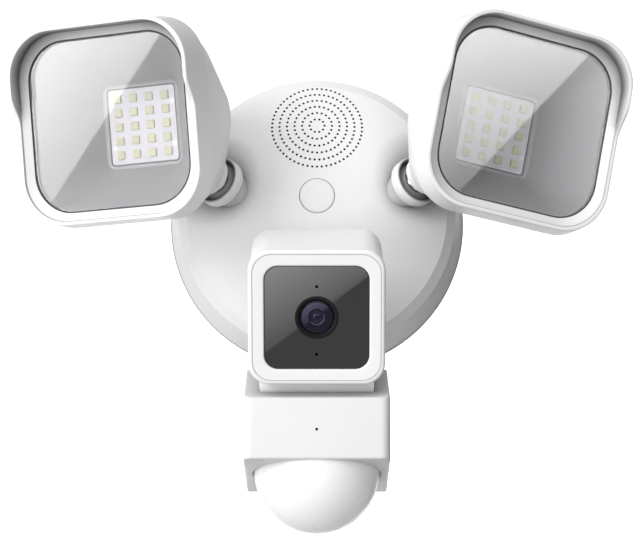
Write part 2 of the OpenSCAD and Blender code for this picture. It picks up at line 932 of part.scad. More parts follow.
at_camera() camera_heat_sink();
at_camera() camera_speaker();
at_camera() setup_button();
at_camera() camera_foot();
at_camera() tilt_pin();
at_arm_ball() liner();  // centre_liner
translate(arm_ball) aim(arm_dir) ball_stud();  // centre_ball_stud
sensor_housing();
sensor_arm();
dome_lens();
sensor_board();
heat_detectors();
sensor_screws();
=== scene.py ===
import json
import math

import bmesh
import bpy
from mathutils import Matrix, Vector


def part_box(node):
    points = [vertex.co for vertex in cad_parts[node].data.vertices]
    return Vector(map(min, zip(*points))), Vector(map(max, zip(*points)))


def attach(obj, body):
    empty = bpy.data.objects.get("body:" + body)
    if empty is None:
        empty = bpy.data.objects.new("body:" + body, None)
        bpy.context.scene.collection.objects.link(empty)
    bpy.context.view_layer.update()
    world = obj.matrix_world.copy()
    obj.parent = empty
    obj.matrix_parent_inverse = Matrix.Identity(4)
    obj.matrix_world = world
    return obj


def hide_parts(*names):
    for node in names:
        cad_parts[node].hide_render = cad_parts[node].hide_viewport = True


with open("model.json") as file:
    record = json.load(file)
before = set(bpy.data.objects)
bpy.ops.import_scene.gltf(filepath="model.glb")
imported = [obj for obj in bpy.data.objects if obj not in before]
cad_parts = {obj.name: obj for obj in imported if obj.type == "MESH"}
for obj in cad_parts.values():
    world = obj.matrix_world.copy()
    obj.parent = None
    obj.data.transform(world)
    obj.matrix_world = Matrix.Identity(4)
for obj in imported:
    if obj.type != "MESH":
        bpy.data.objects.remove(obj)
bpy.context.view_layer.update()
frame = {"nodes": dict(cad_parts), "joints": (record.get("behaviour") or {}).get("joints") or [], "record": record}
nodes = frame["nodes"]
joints = {j["name"]: j for j in frame["joints"]}
slot_of = {s["node"]: s["material_slot"] for s in frame["record"]["subparts"]}

MM = 0.001


# ---------------------------------------------------------------- places

def rigid(origin, x, y, z):
    """A frame in metres with the given axes; x may be mirrored."""
    m = Matrix.Identity(4)
    for i, axis in enumerate((x, y, z)):
        for k in range(3):
            m[k][i] = axis[k]
    m.translation = origin
    return m


def flat_normals(node, count):
    """The directions that most of a box-shaped node's area faces, largest first, one of each pair."""
    found = []
    for p in nodes[node].data.polygons:
        n = p.normal
        for entry in found:
            if abs(entry[0].dot(n)) > 0.999:
                entry[1] += p.area
                break
        else:
            found.append([n.copy(), p.area])
    found.sort(key=lambda e: -e[1])
    return [e[0] for e in found[:count]]


def node_centre(node):
    lo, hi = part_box(node)
    return (lo + hi) / 2


def local_box(node, m):
    """Lowest and highest corner of a node in the frame m, in millimetres."""
    inverse = m.inverted()
    points = [inverse @ v.co for v in nodes[node].data.vertices]
    lo = Vector(min(p[i] for p in points) for i in range(3)) / MM
    hi = Vector(max(p[i] for p in points) for i in range(3)) / MM
    return lo, hi


def frame_of(board, front, mirrored=False):
    """The frame of a flat front node: y up, z out of its front face, whose middle is the origin.

    The board behind gives the directions, and x points right, or left where it is mirrored.
    """
    axes = flat_normals(board, 3)
    out = node_centre(front) - node_centre(board)
    z = max(axes, key=lambda a: abs(a.dot(out)))
    z = z if z.dot(out) > 0 else -z
    rest = [a for a in axes if a is not z and abs(a.dot(z)) < 0.5]
    y = max(rest, key=lambda a: abs(a.z))
    y = y if y.z > 0 else -y
    x = -y.cross(z) if mirrored else y.cross(z)
    m = rigid(Vector((0, 0, 0)), x, y, z)
    lo, hi = local_box(front, m)
    middle = Vector(((lo.x + hi.x) / 2, (lo.y + hi.y) / 2, hi.z)) * MM
    m.translation = m @ middle
    return m


def along(origin, direction):
    """A frame with z along the direction and y as near upright as that allows."""
    z = Vector(direction).normalized()
    x = Vector((0, 0, 1)).cross(z).normalized()
    return rigid(Vector(origin), x, z.cross(x), z)


# ---------------------------------------------------------------- meshes, in millimetres of a frame

def add_piece(name, part, place, body, slot, sharp, replaces=()):
    """A piece out of a part, (points, faces) in millimetres of the frame place."""
    points, faces = part
    mesh = bpy.data.meshes.new(name)
    flip = place.determinant() < 0
    mesh.from_pydata([place @ (Vector(p) * MM) for p in points], [],
                     [tuple(reversed(f)) if flip else tuple(f) for f in faces])
    return finish_piece(name, mesh, body, slot, sharp, replaces)


def finish_piece(name, mesh, body, slot, sharp, replaces=()):
    """A piece out of a mesh in metres; edges that turn by more than sharp degrees stay sharp."""
    mesh.validate()
    bm = bmesh.new()
    bm.from_mesh(mesh)
    bmesh.ops.remove_doubles(bm, verts=bm.verts, dist=0.001 * MM)
    bmesh.ops.recalc_face_normals(bm, faces=bm.faces)
    bm.to_mesh(mesh)
    bm.free()
    mesh.shade_smooth()
    mesh.set_sharp_from_angle(angle=math.radians(sharp))
    mesh.materials.append(MAT[slot])
    piece = bpy.data.objects.new(name, mesh)
    bpy.context.scene.collection.objects.link(piece)
    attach(piece, body)
    if replaces:
        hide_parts(*replaces)
    return piece


def loft(rings, closed=False, start_cap=False, end_cap=False):
    """A part with faces between rings that have as many points each."""
    n = len(rings[0])
    points = [p for ring in rings for p in ring]
    faces = []
    for k in range(len(rings) if closed else len(rings) - 1):
        a, b = k * n, (k + 1) % len(rings) * n
        for i in range(n):
            j = (i + 1) % n
            faces.append((a + i, a + j, b + j, b + i))
    if start_cap:
        faces.append(tuple(reversed(range(n))))
    if end_cap:
        faces.append(tuple(range(len(points) - n, len(points))))
    return points, faces


def lathe(profile, segments=96):
    """A part turned about z out of (radius, height) points. A radius of 0 closes the end."""
    points, faces, rows = [], [], []
    for r, z in profile:
        if r < 1e-9:
            rows.append([len(points)])
            points.append((0, 0, z))
        else:
            rows.append(list(range(len(points), len(points) + segments)))
            for i in range(segments):
                a = 2 * math.pi * i / segments
                points.append((r * math.cos(a), r * math.sin(a), z))
    for lower, upper in zip(rows, rows[1:]):
        for i in range(segments):
            j = (i + 1) % segments
            if len(lower) == 1 and len(upper) > 1:
                faces.append((lower[0], upper[j], upper[i]))
            elif len(upper) == 1 and len(lower) > 1:
                faces.append((lower[i], lower[j], upper[0]))
            elif len(lower) > 1:
                faces.append((lower[i], lower[j], upper[j], upper[i]))
    return points, faces


def arc(centre, radius, start, end, steps):
    """Points of an arc in a profile, angles in degrees."""
    return [(centre[0] + radius * math.cos(math.radians(start + (end - start) * k / steps)),
             centre[1] + radius * math.sin(math.radians(start + (end - start) * k / steps)))
            for k in range(steps + 1)]


def outline(width, radius, height=None, corner=10, side=8):
    """A rounded rectangle as (x, y) points, corner and side points evenly spread."""
    height = width if height is None else height
    points = []
    corners = [(1, 1, 0), (-1, 1, 90), (-1, -1, 180), (1, -1, 270)]
    for k, (sx, sy, a0) in enumerate(corners):
        cx, cy = sx * (width / 2 - radius), sy * (height / 2 - radius)
        for i in range(corner + 1):
            a = math.radians(a0 + 90 * i / corner)
            points.append((cx + radius * math.cos(a), cy + radius * math.sin(a)))
        nx, ny, na = corners[(k + 1) % 4]
        end = math.radians(na)
        target = (nx * (width / 2 - radius) + radius * math.cos(end),
                  ny * (height / 2 - radius) + radius * math.sin(end))
        last = points[-1]
        for i in range(1, side):
            f = i / side
            points.append((last[0] + (target[0] - last[0]) * f, last[1] + (target[1] - last[1]) * f))
    return points


def smoothstep(low, high, value):
    """0 below low, 1 above high, and a smooth rise between."""
    t = min(1.0, max(0.0, (value - low) / (high - low)))
    return t * t * (3 - 2 * t)


def evaluated(obj):
    """The object's mesh with its modifiers, as a new mesh; the object is removed."""
    bpy.context.view_layer.update()
    mesh = bpy.data.meshes.new_from_object(obj.evaluated_get(bpy.context.evaluated_depsgraph_get()))
    bpy.data.objects.remove(obj)
    return mesh


def mesh_object(mesh):
    """A passing object that takes modifiers or cuts another."""
    obj = bpy.data.objects.new("scratch", mesh)
    bpy.context.scene.collection.objects.link(obj)
    return obj


def scratch_object(part):
    """A passing object out of a part in millimetres."""
    points, faces = part
    mesh = bpy.data.meshes.new("scratch")
    mesh.from_pydata([Vector(p) * MM for p in points], [], faces)
    return mesh_object(mesh)


def ring(z, width, radius, height=None, corner=10, side=8):
    """The outline of a rounded rectangle at the height z."""
    return [(x, y, z) for x, y in outline(width, radius, height, corner, side)]


def slab(low, high, width, radius, bevel, height=None, corner=12, side=8):
    """A rounded rectangular plate with rounded edges."""
    height = width if height is None else height
    rings = []
    for drop, z in ((bevel * 1.5, low), (bevel, low), (bevel * 0.3, low + bevel * 0.3), (0, low + bevel),
                    (0, high - bevel), (bevel * 0.3, high - bevel * 0.3), (bevel, high), (bevel * 1.5, high)):
        rings.append(ring(z, width - 2 * drop, max(radius - drop, 0.05), height - 2 * drop, corner, side))
    return loft(rings, start_cap=True, end_cap=True)


def joined(*parts):
    """One part out of several."""
    points, faces = [], []
    for p, f in parts:
        faces += [tuple(i + len(points) for i in face) for face in f]
        points += p
    return points, faces


def moved(part, x=0, y=0, z=0):
    """The part shifted by x, y and z."""
    return [(a + x, b + y, c + z) for a, b, c in part[0]], part[1]


def prism(corners, x0, x1):
    """A part along X whose side outline is the corners, each (y, z)."""
    rings = [[(x, y, z) for y, z in corners] for x in (x0, x1)]
    return loft(rings, start_cap=True, end_cap=True)


def swept(outer, inner, section):
    """A closed band between two outlines of as many points.

    section(y) lists (share of the way in from outer to inner, height) for a point of outer at y.
    """
    rings = []
    for (ox, oy), (ix, iy) in zip(outer, inner):
        rings.append([(ox + (ix - ox) * f, oy + (iy - oy) * f, z) for f, z in section(oy)])
    return loft(rings, closed=True)


def rounded_edges(obj, width, segments, angle, clamp=False):
    """The object with edges that turn by more than angle degrees rounded to width millimetres."""
    bevel = obj.modifiers.new("round", "BEVEL")
    bevel.width = width * MM
    bevel.segments = segments
    bevel.limit_method = "ANGLE"
    bevel.angle_limit = math.radians(angle)
    bevel.use_clamp_overlap = clamp
    return obj


def cut(obj, *cutters):
    """The mesh of obj less the cutters; all of them are used up."""
    for cutter in cutters:
        b = obj.modifiers.new("cut", "BOOLEAN")
        b.operation = "DIFFERENCE"
        b.solver = "EXACT"
        b.object = cutter
    mesh = evaluated(obj)
    for cutter in cutters:
        bpy.data.objects.remove(cutter)
    return mesh


def placed(mesh, place):
    """The mesh moved into the frame place, right side out where that frame is mirrored."""
    mesh.transform(place)
    if place.determinant() < 0:
        mesh.flip_normals()
    return mesh


def softened(node, body, width):
    """A piece with a node's own shape and rounded edges, which stands for that node."""
    bm = bmesh.new()
    bm.from_mesh(nodes[node].data)
    bmesh.ops.remove_doubles(bm, verts=bm.verts, dist=2e-5)
    bmesh.ops.dissolve_limit(bm, angle_limit=math.radians(0.3), verts=bm.verts, edges=bm.edges)
    mesh = bpy.data.meshes.new("scratch")
    bm.to_mesh(mesh)
    bm.free()
    mesh = evaluated(rounded_edges(mesh_object(mesh), width, segments=2, angle=32, clamp=True))
    return finish_piece(node + "_visual", mesh, body, slot_of[node], 32, (node,))


# ---------------------------------------------------------------- materials

def shade(name, colour, roughness, *, spread=0.03, mottle=60, rough_spread=0.06, grain=2500, bump=0.02,
          metallic=0.0, coat=0.0, specular=0.5, edge=0.0, subsurface=0.0, emission=0.0, painted_shade=0.0,
          reach=0.004, shut=0.4, specular_tint=None):
    """A Principled material with mottled colour, uneven gloss and a fine grain.

    edge lightens worn edges. painted_shade is painted shade: it darkens the colour by up to that share in
    hollows and gaps, where less light reaches; reach is how far away a surface counts, in metres, and at an
    openness of shut or less the painted shade is full.
    """
    m = bpy.data.materials.new(name)
    m.use_nodes = True
    t = m.node_tree
    t.nodes.clear()
    out = t.nodes.new("ShaderNodeOutputMaterial")
    b = t.nodes.new("ShaderNodeBsdfPrincipled")
    t.links.new(b.outputs["BSDF"], out.inputs["Surface"])
    b.inputs["Metallic"].default_value = metallic
    b.inputs["IOR"].default_value = 1.5
    b.inputs["Coat Weight"].default_value = coat
    b.inputs["Coat Roughness"].default_value = 0.1
    b.inputs["Specular IOR Level"].default_value = specular
    if subsurface:
        b.inputs["Subsurface Weight"].default_value = subsurface
        b.inputs["Subsurface Radius"].default_value = (0.004, 0.004, 0.0035)
        b.inputs["Subsurface Scale"].default_value = 1.0
    where = t.nodes.new("ShaderNodeTexCoord")
    slow = t.nodes.new("ShaderNodeTexNoise")
    slow.inputs["Scale"].default_value = mottle
    slow.inputs["Detail"].default_value = 3
    t.links.new(where.outputs["Object"], slow.inputs["Vector"])
    ramp = t.nodes.new("ShaderNodeValToRGB")
    ramp.color_ramp.elements[0].position = 0.3
    ramp.color_ramp.elements[1].position = 0.7
    ramp.color_ramp.elements[0].color = (*[c * (1 - spread) for c in colour], 1)
    ramp.color_ramp.elements[1].color = (*[min(1, c * (1 + spread)) for c in colour], 1)
    t.links.new(slow.outputs["Fac"], ramp.inputs["Fac"])
    source = ramp.outputs["Color"]
    if edge:
        worn = t.nodes.new("ShaderNodeNewGeometry")
        lift = t.nodes.new("ShaderNodeMapRange")
        lift.inputs["From Min"].default_value = 0.5
        lift.inputs["From Max"].default_value = 0.62
        lift.inputs["To Max"].default_value = edge
        t.links.new(worn.outputs["Pointiness"], lift.inputs["Value"])
        mix = t.nodes.new("ShaderNodeMix")
        mix.data_type = "RGBA"
        mix.inputs["B"].default_value = (*[min(1, c * 1.25 + 0.05) for c in colour], 1)
        t.links.new(lift.outputs["Result"], mix.inputs["Factor"])
        t.links.new(source, mix.inputs["A"])
        source = mix.outputs["Result"]
    # Painted shade: an ambient occlusion reading darkens the base colour in hollows, gaps and under parts, where
    # shade falls.
    if painted_shade:
        hollow = t.nodes.new("ShaderNodeAmbientOcclusion")
        hollow.samples = 16
        hollow.inputs["Distance"].default_value = reach
        open_air = t.nodes.new("ShaderNodeMapRange")
        open_air.inputs["From Min"].default_value = shut
        open_air.inputs["From Max"].default_value = 0.9
        open_air.inputs["To Min"].default_value = 1 - painted_shade
        t.links.new(hollow.outputs["AO"], open_air.inputs["Value"])
        dim = t.nodes.new("ShaderNodeMix")
        dim.data_type = "RGBA"
        dim.blend_type = "MULTIPLY"
        dim.inputs["Factor"].default_value = 1.0
        t.links.new(source, dim.inputs["A"])
        t.links.new(open_air.outputs["Result"], dim.inputs["B"])
        source = dim.outputs["Result"]
    t.links.new(source, b.inputs["Base Color"])
    if specular_tint:
        b.inputs["Specular Tint"].default_value = (*specular_tint, 1)
    uneven = t.nodes.new("ShaderNodeTexNoise")
    uneven.inputs["Scale"].default_value = mottle * 3
    uneven.inputs["Detail"].default_value = 4
    t.links.new(where.outputs["Object"], uneven.inputs["Vector"])
    rough = t.nodes.new("ShaderNodeMapRange")
    rough.inputs["From Min"].default_value = 0.3
    rough.inputs["From Max"].default_value = 0.7
    rough.inputs["To Min"].default_value = max(0.0, roughness - rough_spread)
    rough.inputs["To Max"].default_value = min(1.0, roughness + rough_spread)
    t.links.new(uneven.outputs["Fac"], rough.inputs["Value"])
    t.links.new(rough.outputs["Result"], b.inputs["Roughness"])
    if bump:
        fine = t.nodes.new("ShaderNodeTexNoise")
        fine.inputs["Scale"].default_value = grain
        fine.inputs["Detail"].default_value = 2
        t.links.new(where.outputs["Object"], fine.inputs["Vector"])
        relief = t.nodes.new("ShaderNodeBump")
        relief.inputs["Strength"].default_value = bump
        relief.inputs["Distance"].default_value = 0.0004
        t.links.new(fine.outputs["Fac"], relief.inputs["Height"])
        t.links.new(relief.outputs["Normal"], b.inputs["Normal"])
    if emission:
        b.inputs["Emission Color"].default_value = (*colour, 1)
        b.inputs["Emission Strength"].default_value = emission
    return m


def pane(name, tint, roughness):
    """Clear glass that casts no shadow on what is behind it."""
    m = shade(name, tint, roughness, spread=0.004, rough_spread=0.01, bump=0)
    t = m.node_tree
    b = next(n for n in t.nodes if n.type == "BSDF_PRINCIPLED")
    b.inputs["Transmission Weight"].default_value = 1.0
    out = next(n for n in t.nodes if n.type == "OUTPUT_MATERIAL")
    path = t.nodes.new("ShaderNodeLightPath")
    clear = t.nodes.new("ShaderNodeBsdfTransparent")
    mix = t.nodes.new("ShaderNodeMixShader")
    t.links.new(path.outputs["Is Shadow Ray"], mix.inputs["Fac"])
    t.links.new(b.outputs["BSDF"], mix.inputs[1])
    t.links.new(clear.outputs["BSDF"], mix.inputs[2])
    t.links.new(mix.outputs["Shader"], out.inputs["Surface"])
    return m


white = (0.82, 0.82, 0.815)
# Several white plastics below darken in their hollows and gaps as painted shade, strongest on the lamp frames,
# where it darkens the inside of the hoods.
MAT = {
    "white_plastic": shade("moulded_white", white, 0.42, spread=0.012, mottle=35, grain=3500, bump=0.03,
                           painted_shade=0.8, reach=0.02),
    "lamp_white": shade("powder_coated_white", white, 0.45, spread=0.012, mottle=45, grain=1800, bump=0.07,
                        painted_shade=0.5, reach=0.01),
    "frame_white": shade("frame_white", white, 0.38, spread=0.01, mottle=40, grain=3500, bump=0.025,
                         painted_shade=0.95, reach=0.022, shut=0.6),
    "lamp_lens": pane("lamp_glass", (0.97, 0.975, 0.98), 0.012),
    # The reflector is a dark grey, far darker than its matt white, so that the inside of the lamp looks shaded:
    # painted shade.
    "reflector_white": shade("reflector", (0.2, 0.2, 0.205), 0.45, spread=0.02, mottle=30, bump=0),
    "board_white": shade("white_solder_mask", (0.42, 0.405, 0.44), 0.4, spread=0.02, mottle=120, bump=0.03),
    "led_phosphor": shade("led_phosphor", (0.36, 0.35, 0.22), 0.35, spread=0.12, mottle=220, bump=0.05),
    "aluminium": shade("aluminium", (0.62, 0.63, 0.64), 0.36, metallic=1.0, mottle=90, grain=5000, bump=0.06),
    "steel": shade("zinc_steel", (0.56, 0.56, 0.57), 0.34, metallic=1.0, mottle=140, spread=0.08, grain=4000,
                   bump=0.05, edge=0.4),
    "chrome_ball": shade("chrome", (0.66, 0.66, 0.67), 0.12, metallic=1.0, rough_spread=0.04, bump=0.01),
    "nylon_liner": shade("grey_nylon", (0.28, 0.28, 0.28), 0.5, spread=0.1, bump=0.05),
    "rubber_seal": shade("black_rubber", (0.018, 0.018, 0.019), 0.62, spread=0.2, grain=3000, bump=0.1),
    # The seal is a dark grey rather than its pale silicone, so that it paints the shade of the groove round the
    # glass.
    "lens_seal_grey": shade("silicone_painted_groove_shade", (0.16, 0.16, 0.165), 0.6, spread=0.1, grain=3000, bump=0.08),
    "foam_gasket": shade("cell_foam", (0.03, 0.03, 0.032), 0.9, spread=0.3, mottle=400, grain=1500, bump=0.5),
    "circuit_green": shade("solder_mask_green", (0.012, 0.09, 0.03), 0.3, spread=0.25, mottle=160, bump=0.04,
                           coat=0.4),
    "black_plastic": shade("black_plastic", (0.02, 0.02, 0.022), 0.42, spread=0.15, bump=0.06),
    "speaker_grey": shade("speaker_paper", (0.035, 0.035, 0.038), 0.7, spread=0.2, mottle=200, grain=1500,
                          bump=0.25),
    "terminal_plastic": shade("ivory_nylon", (0.62, 0.6, 0.5), 0.45, spread=0.05, bump=0.04),
    "camera_white": shade("camera_white", white, 0.34, spread=0.01, mottle=40, grain=4000, bump=0.02,
                          painted_shade=0.45),
    "window_dark": shade("window_black", (0.016, 0.016, 0.017), 0.015, spread=0.1, rough_spread=0.01, bump=0),
    "lens_black": shade("lens_black", (0.008, 0.008, 0.009), 0.35, spread=0.2, rough_spread=0.05, bump=0.02,
                        specular=0.15),
    "lens_coating": shade("lens_coating", (0.002, 0.0015, 0.005), 0.02, spread=0.3, rough_spread=0.01,
                          bump=0, specular=0.38, specular_tint=(0.7, 0.62, 1)),
    "infrared_lens": shade("infrared_lens", (0.02, 0.012, 0.02), 0.15, spread=0.2, bump=0.01),
    "sensor_grey": shade("sensor_white", (0.72, 0.72, 0.715), 0.4, spread=0.012, mottle=40, grain=3500,
                         bump=0.03, painted_shade=0.5, reach=0.012),
    # The dome glows a little of its own, though it is no lamp: painted light.
    "dome_milky": shade("milky_lens_painted_glow", (0.84, 0.84, 0.835), 0.3, spread=0.008, mottle=30, grain=2500,
                        bump=0.02, subsurface=0.5, emission=0.17),
    "detector_can": shade("nickel_can", (0.55, 0.53, 0.47), 0.3, metallic=1.0, mottle=150, bump=0.04),
}

for name, node in nodes.items():
    node.data.materials.clear()
    node.data.materials.append(MAT[slot_of[name]])

# ---------------------------------------------------------------- lamps, in millimetres

FRAME_WIDTH, FRAME_CORNER = 79.5, 19
OPENING_WIDTH, OPENING_CORNER = 68.5, 16
HOOD_RISE = 6
HOOD_LOW, HOOD_FULL = 2, 15
BODY_FRONT = -7.9
BODY_WALL = 2.2
NECK_RADIUS, NECK_BORE = 8.3, 3.65
NECK_START, NECK_END = 5.2, 14
GLASS_WIDTH, GLASS_CORNER, GLASS_DEPTH = 68.3, 15.9, 2.5
POCKET_BACK = -31.7
BOARD_BACK, BOARD_FRONT = -33.4, -31.8
CHIP_COLUMNS, CHIP_ROWS = 4, 5
CHIP_STEP_X, CHIP_STEP_Y = 7.2, 5.8
SCREW_X, SCREW_Y, SCREW_RADIUS = 13.8, 8.7, 0.8


def circle(radius, count):
    """Points evenly spread round a circle."""
    turns = (2 * math.pi * k / count for k in range(count))
    return [(radius * math.cos(a), radius * math.sin(a)) for a in turns]


def hood_section(y):
    """The frame's section at y, in shares of the band; its front edge rises with y into the hood."""
    band = (FRAME_WIDTH - OPENING_WIDTH) / 2
    h = HOOD_RISE * smoothstep(HOOD_LOW, HOOD_FULL, y)
    profile = [(2, -8), (-0.6, -8), (-0.93, -7.6), (-0.93, -7.2), (0.02, 2.4), (0.02, 2.3 + h),
               (0.1, 2.72 + h), (0.3, 2.93 + h), (0.55, 3 + h), (1.3, 3 + h), (1.5, 2.93 + h),
               (1.62, 2.7 + h), (1.85, 2.05 + 0.1 * h), (2.0, 1.95), (4.7, 0.42), (4.95, 0.25),
               (5.05, -0.05), (5.1, -0.6), (5.1, -8)]
    return [(d / band, z) for d, z in profile]


def frame_and_hood():
    return swept(outline(FRAME_WIDTH, FRAME_CORNER, corner=16, side=28),
                 outline(OPENING_WIDTH, OPENING_CORNER, corner=16, side=28), hood_section)


def lamp_body(root, direction):
    """The rounded die-cast body behind the frame, as a mesh in metres, open to the front.

    It is a smoothed hull round three squares, two rounds and the start of the neck at root.
    """
    neck_hull = 9
    points = []
    for z, width, corner in ((-4, 77, 18), (-12, 77, 18), (-22.5, 74, 19)):
        points += ring(z, width, corner, corner=12, side=3)
    for x, y, z, radius in ((4, -2, -38.5, 28.5), (16, 2, -45, 18)):
        points += [(x + a, y + b, z) for a, b in circle(radius, 64)]
    neck = along(Vector((0, 0, 0)), direction).to_3x3()
    points += [root + neck @ Vector((a, b, 0)) for a, b in circle(neck_hull, 48)]
    bm = bmesh.new()
    for p in points:
        bm.verts.new(Vector(p) * MM)
    hull = bmesh.ops.convex_hull(bm, input=bm.verts)
    spare = {g for g in hull["geom_interior"] + hull["geom_unused"] if isinstance(g, bmesh.types.BMVert)}
    bmesh.ops.delete(bm, geom=list(spare), context="VERTS")
    mesh = bpy.data.meshes.new("scratch")
    bm.to_mesh(mesh)
    bm.free()
    obj = mesh_object(mesh)
    grid = obj.modifiers.new("grid", "REMESH")
    grid.mode = "VOXEL"
    grid.voxel_size = 1.2 * MM
    smooth = obj.modifiers.new("smooth", "SMOOTH")
    smooth.factor = 0.5
    smooth.iterations = 12
    mesh = evaluated(obj)
    bm = bmesh.new()
    bm.from_mesh(mesh)
    bmesh.ops.bisect_plane(bm, geom=bm.verts[:] + bm.edges[:] + bm.faces[:], dist=1e-7,
                           plane_co=(0, 0, BODY_FRONT * MM), plane_no=(0, 0, 1), clear_outer=True)
    bm.to_mesh(mesh)
    bm.free()
    obj = mesh_object(mesh)
    wall = obj.modifiers.new("wall", "SOLIDIFY")
    wall.thickness = BODY_WALL * MM
    wall.offset = -1
    return evaluated(obj)


def neck():
    """The neck that holds the ball stud, along z from the ball."""
    round_start = NECK_START + 0.9
    profile = [(NECK_BORE, NECK_START), (NECK_RADIUS - 0.9, NECK_START)]
    profile += arc((NECK_RADIUS - 0.9, round_start), 0.9, -70, 0, 5)
    profile += [(NECK_RADIUS, NECK_END), (NECK_BORE, NECK_END), (NECK_BORE, NECK_START)]
    return lathe(profile, 96)


def seal_bead_painted_shade():
    """The seal between the glass and the frame, dark grey so that it paints the groove's shade as a thin dark
    line.
    """
    outer, inner = (69.2, 16.3), (OPENING_WIDTH, OPENING_CORNER)
    rings = [ring(-3, *outer), ring(-0.5, *outer), ring(-0.35, 68.9, 16.2), ring(-0.5, *inner),
             ring(-3, *inner)]
    return loft(rings, closed=True)


def pocket():
    """The sloping wall from the board out to the glass, with a thin back."""
    foot, rim = -30.9, -2.72
    rings = [ring(POCKET_BACK, 31.3, 1.6, 31.9), ring(POCKET_BACK + 0.02, 34.2, 3.6),
             ring(POCKET_BACK + 0.3, 35, 4), ring(foot, 35.6, 4.3)]
    rings += [ring(foot + 28.1 * f, 35.6 + 32 * f, 4.3 + 11.2 * f) for f in (0.2, 0.4, 0.6, 0.8, 0.97)]
    rings += [ring(rim, 67.9, 15.7), ring(rim, GLASS_WIDTH, GLASS_CORNER), ring(-3.4, 68.6, 16),
              ring(-4.6, 67.4, 15.6), ring(-31, 37.4, 5.4), ring(POCKET_BACK, 36.6, 5)]
    return loft(rings, closed=True)


def emitters():
    """The rows of square chips, each with a soft square of phosphor on it."""
    chips = []
    for column in range(CHIP_COLUMNS):
        for row in range(CHIP_ROWS):
            x = (column - (CHIP_COLUMNS - 1) / 2) * CHIP_STEP_X
            y = (row - (CHIP_ROWS - 1) / 2) * CHIP_STEP_Y
            case = slab(BOARD_FRONT, BOARD_FRONT + 0.58, 3.4, 0.3, 0.12, corner=3, side=2)
            phosphor = slab(BOARD_FRONT + 0.5, BOARD_FRONT + 0.68, 2.7, 0.5, 0.05, corner=3, side=2)
            chips += [moved(case, x, y), moved(phosphor, x, y)]
    return joined(*chips)


def board_screws():
    """Four small flush screws with a dimple in each head."""
    low = BOARD_FRONT - 3.9
    profile = [(0, low), (SCREW_RADIUS, low), (SCREW_RADIUS, BOARD_FRONT), (0.7, BOARD_FRONT + 0.05),
               (0.35, BOARD_FRONT + 0.03), (0.25, BOARD_FRONT - 0.1), (0, BOARD_FRONT - 0.1)]
    return joined(*[moved(lathe(profile, 32), x, y) for x in (-SCREW_X, SCREW_X)
                    for y in (-SCREW_Y, SCREW_Y)])


def make_lamp(side, mirrored):
    """All the pieces of one lamp; the answer is the frame of its glass."""
    body = side + "_lamp"
    place = frame_of(side + "_led_board", side + "_lamp_glass", mirrored)
    spin = joints[side + "_lamp_spin"]
    ball = Vector(spin["pos_m"])
    axis = Vector(spin["axis"])
    if axis.dot(place.translation - ball) < 0:
        axis = -axis
    inverse = place.inverted()
    body_start = 8.7
    root = inverse @ (ball + axis * body_start * MM) / MM

    add_piece(side + "_frame_and_hood", frame_and_hood(), place, body, "frame_white", 32,
              (side + "_lamp_hood",))
    mesh = placed(lamp_body(root, (inverse.to_3x3() @ axis).normalized()), place)
    finish_piece(side + "_cast_body", mesh, body, "lamp_white", 45, (side + "_lamp_housing",))
    add_piece(side + "_neck", neck(), along(ball, axis), body, "lamp_white", 40)
    for name, part, slot, sharp, stands_for in (
            ("_seal_bead_painted_shade", seal_bead_painted_shade(), "lens_seal_grey", 30, "_lens_seal"),
            ("_glass_pane", slab(-GLASS_DEPTH, 0, GLASS_WIDTH, GLASS_CORNER, 0.12), "lamp_lens", 25,
             "_lamp_glass"),
            ("_pocket", pocket(), "reflector_white", 40, "_reflector"),
            ("_light_board", slab(BOARD_BACK, BOARD_FRONT, 30.4, 1.4, 0.25, 31), "board_white", 30,
             "_led_board"),
            ("_emitters", emitters(), "led_phosphor", 30, "_led_chips"),
            ("_board_screws", board_screws(), "steel", 30, "_lamp_screws")):
        add_piece(side + name, part, place, body, slot, sharp, (side + stands_for,))
    return place


lamps = {"left": make_lamp("left", False), "right": make_lamp("right", True)}

# ---------------------------------------------------------------- base, in millimetres


def cup_profile():
    """Half a section of a cup: threaded tail, seat for the ball, and a rolled lip."""
    profile = [(2.5, -8), (2.5, -28), (5.5, -28), (5.5, -15), (7.6, -15), (7.6, -7.5), (9.65, -2.5)]
    profile += arc((9.9, -1.75), 0.5, -90, 60, 6)
    profile += [(10.08, -1.2), (10.02, -1.02), (10.1, -0.84)]
    profile += arc((9.9, -0.5), 0.5, -40, 0, 3)
    profile += arc((9.4, 1.5), 1.0, 0, 80, 7)
    return profile + [(9.3, 2.42), (9.15, 2.2), (8.75, -1), (8.75, -2), (6.2, -8), (2.5, -8)]


def ball_cups():
    """One cup on each ball joint, pointing out of the dome."""
    cups = []
    for name in ("left_lamp_swivel", "right_lamp_swivel", "arm_swivel"):
        axis = Vector(joints[name]["axis"])
        place = along(Vector(joints[name]["pos_m"]), axis if axis.y < 0 else -axis)
        points, faces = lathe(cup_profile(), 96)
        cups.append(([place @ (Vector(p) * MM) / MM for p in points], faces))
    return joined(*cups)


add_piece("ball_cups", ball_cups(), Matrix.Identity(4), "base", "white_plastic", 38, ("socket_cups",))


def bolt_plug(radius, top):
    """The plug over the mounting bolt: a narrower stem and a slightly crowned cap."""
    stem, rim, cap = radius - 1.6, 0.35, top - 0.26
    profile = [(0, 0), (stem - 0.3, 0), (stem, 0.3), (stem, top - 6), (radius, top - 6), (radius, top - 1)]
    profile += arc((radius - rim, top - 1), rim, 0, 82, 5)
    profile += [(r, cap - 0.38 * (r / radius) ** 2) for r in (5.8, 4, 2.6, 1.2)]
    return lathe(profile + [(0, cap)], 96)


